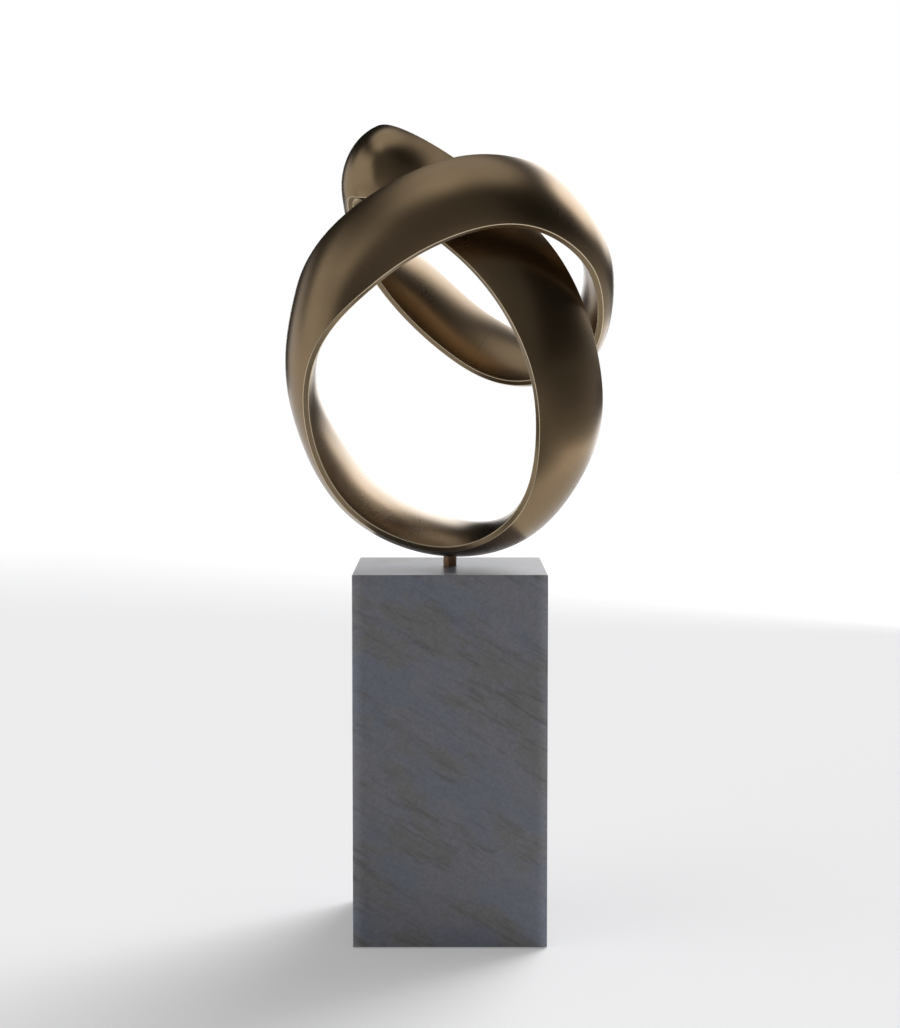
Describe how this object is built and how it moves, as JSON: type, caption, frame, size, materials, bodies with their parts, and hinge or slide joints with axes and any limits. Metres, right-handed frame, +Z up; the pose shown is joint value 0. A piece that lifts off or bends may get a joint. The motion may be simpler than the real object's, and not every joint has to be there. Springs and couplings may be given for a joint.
{
  "type": "metal knot sculpture on a plinth",
  "caption": "Looped and crossing bronze band with a lens section, standing on a short round pin and turning over a square slate plinth.",
  "frame": {"origin": "centre of the plinth's underside on the floor, on the axis of the pin", "axes": "+Z up along the pin, -Y towards the viewer, +X to the viewer's right"},
  "size_m": [0.525, 0.3538, 1.2893],
  "materials": {
    "band_bronze": "satin brown patina on cast bronze",
    "pin_bronze": "dark red-brown patina",
    "bush_bronze": "bare turned bronze",
    "slate": "honed blue-grey slate",
    "steel": "zinc plated",
    "board": "sealed birch plywood"
  },
  "bodies": {
    "plinth": {"thrust_washer": "bush_bronze", "upper_bush": "bush_bronze", "lower_bush": "bush_bronze", "bearing_housing": "steel", "housing_bolts": "steel", "mounting_plate": "steel", "plate_screws": "steel", "post_front_left": "steel", "post_front_right": "steel", "post_back_left": "steel", "post_back_right": "steel", "base_board": "board", "board_screws": "steel", "plinth_top_slab": "slate", "plinth_front_slab": "slate", "plinth_back_slab": "slate", "plinth_left_slab": "slate", "plinth_right_slab": "slate"},
    "knot": {"band_foot_arc": "band_bronze", "band_right_rise": "band_bronze", "band_upper_cross": "band_bronze", "band_crest_bend": "band_bronze", "band_back_sweep": "band_bronze", "band_right_turn": "band_bronze", "band_front_arch": "band_bronze", "band_left_shoulder": "band_bronze", "band_left_fall": "band_bronze", "joint_sleeve_1": "bush_bronze", "joint_sleeve_2": "bush_bronze", "joint_sleeve_3": "bush_bronze", "joint_sleeve_4": "bush_bronze", "joint_sleeve_5": "bush_bronze", "joint_sleeve_6": "bush_bronze", "joint_sleeve_7": "bush_bronze", "joint_sleeve_8": "bush_bronze", "joint_sleeve_9": "bush_bronze", "joint_pins": "bush_bronze", "foot_block": "band_bronze", "pin_sleeve": "pin_bronze", "spindle": "steel", "spindle_washer": "steel", "spindle_nut": "steel"}
  },
  "joints": [
    {"name": "knot_swivel", "type": "hinge", "parent": "plinth", "child": "knot", "pos_m": [0, 0, 0.58], "axis": [0, 0, 1], "continuous": true}
  ]
}
